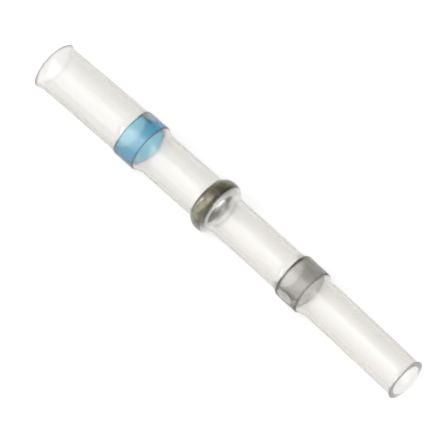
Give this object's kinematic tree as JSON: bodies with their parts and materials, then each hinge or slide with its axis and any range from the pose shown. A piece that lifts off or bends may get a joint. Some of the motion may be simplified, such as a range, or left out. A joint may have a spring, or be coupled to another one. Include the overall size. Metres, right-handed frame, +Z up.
{
  "type": "solder sleeve",
  "caption": "Clear heat-shrink tube with a solder ring in the middle and a hot-melt seal ring near each end, for splicing two wires with a hot-air gun.",
  "frame": {"origin": "centre of the bounding box's bottom face, on the surface that the part lies on; the middle of the tube's length is right above it", "axes": "+X along the tube from the wide, blue-banded end to the narrow end, +Z up. The part lies as it comes to rest, on the bulge over the solder ring and on the narrow rim, so the tube's axis dips towards +X by 1.425 degrees"},
  "size_m": [0.04, 0.0048, 0.0051],
  "materials": {
    "clear_tube": "gloss",
    "blue_hot_melt": "satin",
    "solder": "satin",
    "clear_hot_melt": "satin"
  },
  "bodies": {
    "root": {"shrink_sleeve": "clear_tube", "blue_seal_ring": "blue_hot_melt", "solder_ring": "solder", "clear_seal_ring": "clear_hot_melt"}
  },
  "joints": []
}
